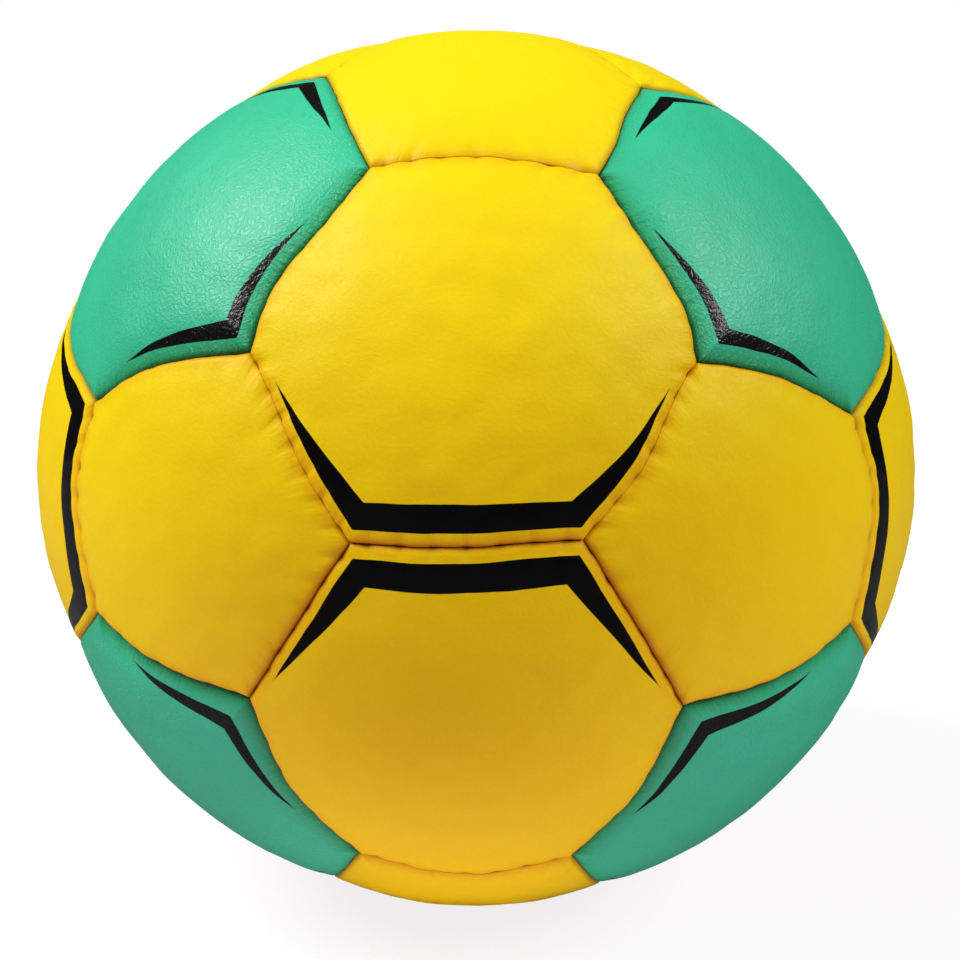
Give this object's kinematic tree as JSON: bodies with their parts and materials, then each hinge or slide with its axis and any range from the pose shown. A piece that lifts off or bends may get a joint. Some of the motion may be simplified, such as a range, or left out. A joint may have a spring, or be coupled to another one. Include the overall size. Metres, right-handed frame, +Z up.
{
  "type": "handball",
  "caption": "Hand-stitched handball of pentagon and hexagon panels over a bladder, with an inflation valve and pull-out plug.",
  "frame": {"origin": "centre of the ball", "axes": "+Z up through a seam shared by two yellow hexagon panels, -Y out through the seam that faces the viewer, +X to the viewer's right"},
  "size_m": [0.186, 0.186, 0.186],
  "materials": {
    "yellow_panel": "satin",
    "green_panel": "satin",
    "lining_cloth": "matte",
    "waxed_thread": "satin",
    "bladder_latex": "satin",
    "valve_rubber": "matte",
    "patch_cloth": "matte",
    "plug_rubber": "matte"
  },
  "bodies": {
    "ball": {"pentagon_panel_01": "yellow_panel", "pentagon_panel_02": "yellow_panel", "pentagon_panel_03": "yellow_panel", "pentagon_panel_04": "yellow_panel", "pentagon_panel_05": "yellow_panel", "pentagon_panel_06": "yellow_panel", "pentagon_panel_07": "yellow_panel", "pentagon_panel_08": "yellow_panel", "pentagon_panel_09": "yellow_panel", "pentagon_panel_10": "yellow_panel", "pentagon_panel_11": "yellow_panel", "pentagon_panel_12": "yellow_panel", "yellow_hexagon_panel_01": "yellow_panel", "yellow_hexagon_panel_02": "yellow_panel", "yellow_hexagon_panel_03": "yellow_panel", "yellow_hexagon_panel_04": "yellow_panel", "yellow_hexagon_panel_05": "yellow_panel", "yellow_hexagon_panel_06": "yellow_panel", "yellow_hexagon_panel_07": "yellow_panel", "yellow_hexagon_panel_08": "yellow_panel", "yellow_hexagon_panel_09": "yellow_panel", "yellow_hexagon_panel_10": "yellow_panel", "yellow_hexagon_panel_11": "yellow_panel", "yellow_hexagon_panel_12": "yellow_panel", "green_hexagon_panel_01": "green_panel", "green_hexagon_panel_02": "green_panel", "green_hexagon_panel_03": "green_panel", "green_hexagon_panel_04": "green_panel", "green_hexagon_panel_05": "green_panel", "green_hexagon_panel_06": "green_panel", "green_hexagon_panel_07": "green_panel", "green_hexagon_panel_08": "green_panel", "pentagon_linings": "lining_cloth", "hexagon_linings": "lining_cloth", "pentagon_seam_threads": "waxed_thread", "hexagon_seam_threads": "waxed_thread", "bladder": "bladder_latex", "balance_patch": "bladder_latex", "valve_housing": "valve_rubber", "valve_patch": "patch_cloth"},
    "plug": {"valve_plug": "plug_rubber"}
  },
  "joints": [
    {"name": "plug_pull", "type": "slide", "parent": "ball", "child": "plug", "axis": [0, 0.5257, 0.8507], "range_m": [0, 0.022]}
  ]
}
